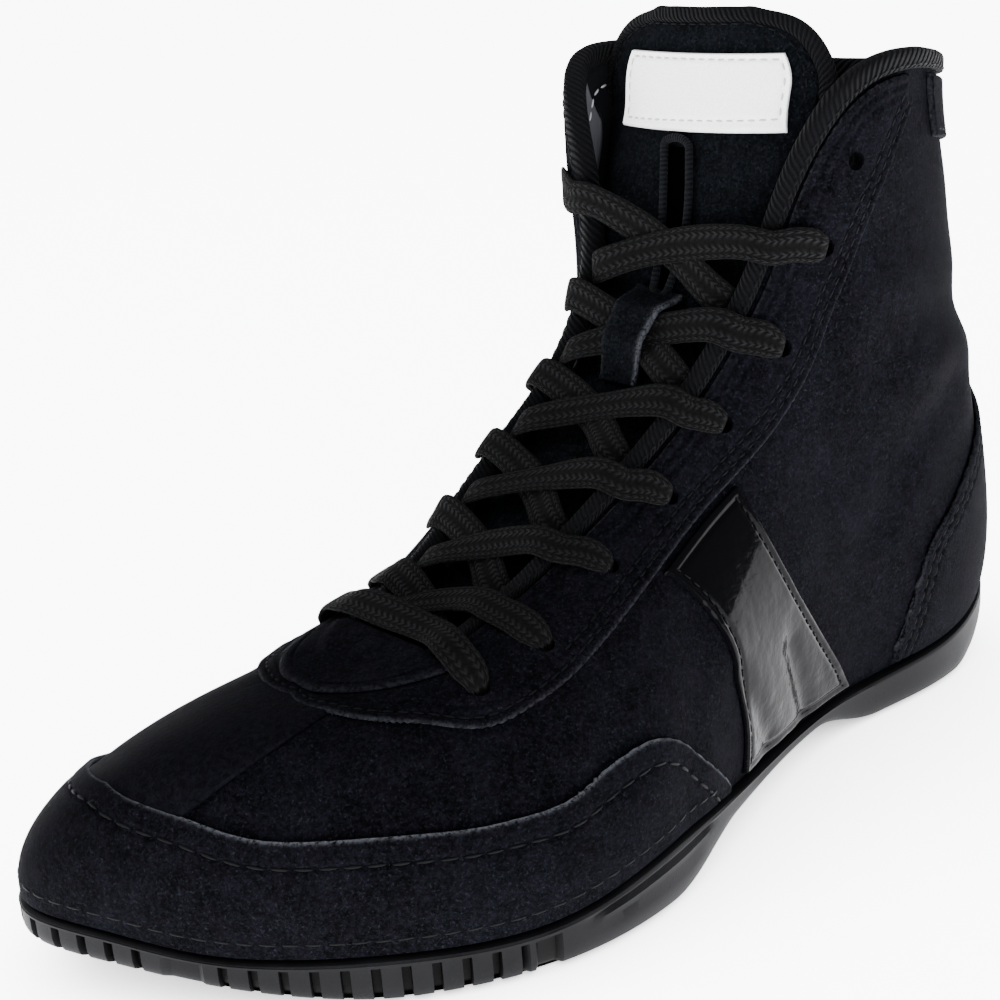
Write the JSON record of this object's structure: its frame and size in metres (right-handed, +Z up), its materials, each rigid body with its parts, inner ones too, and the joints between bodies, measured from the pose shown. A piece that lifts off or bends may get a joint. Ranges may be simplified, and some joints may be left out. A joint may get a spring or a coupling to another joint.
{
  "type": "wrestling shoe",
  "caption": "High-top lace-up wrestling shoe for the left foot: soft suede upper with toe guard, heel counter and padded tongue on a thin rubber sole, laced and empty.",
  "frame": {"origin": "middle of the footprint's bounding box, on the floor", "axes": "+X from the heel to the toe, +Y to the outer (lateral) side of the left foot, +Z up"},
  "size_m": [0.2694, 0.1074, 0.1729],
  "materials": {
    "rubber": "matte, moulded",
    "insole_fabric": "woven",
    "suede": "napped",
    "tongue_suede": "napped",
    "grained_leather": "grained, semi-matte",
    "patent_leather": "high gloss",
    "binding_tape": "woven tape",
    "label_fabric": "woven, matte",
    "lace_cotton": "flat braid"
  },
  "bodies": {
    "root": {"outsole": "rubber", "insole": "insole_fabric", "upper": "suede", "tongue": "tongue_suede", "toe_guard": "suede", "vamp_strip": "grained_leather", "eyestay": "suede", "heel_counter": "suede", "back_stay": "suede", "collar_cuff": "suede", "saddle_lateral": "patent_leather", "saddle_medial": "patent_leather", "collar_binding": "binding_tape", "tongue_label": "label_fabric", "tongue_binding": "binding_tape", "tongue_pocket_welt": "tongue_suede", "lace_bar_1": "lace_cotton", "lace_cross_2": "lace_cotton", "lace_cross_3": "lace_cotton", "lace_cross_4": "lace_cotton", "lace_cross_5": "lace_cotton", "lace_cross_6": "lace_cotton", "lace_cross_7": "lace_cotton", "lace_keeper": "tongue_suede"}
  },
  "joints": []
}
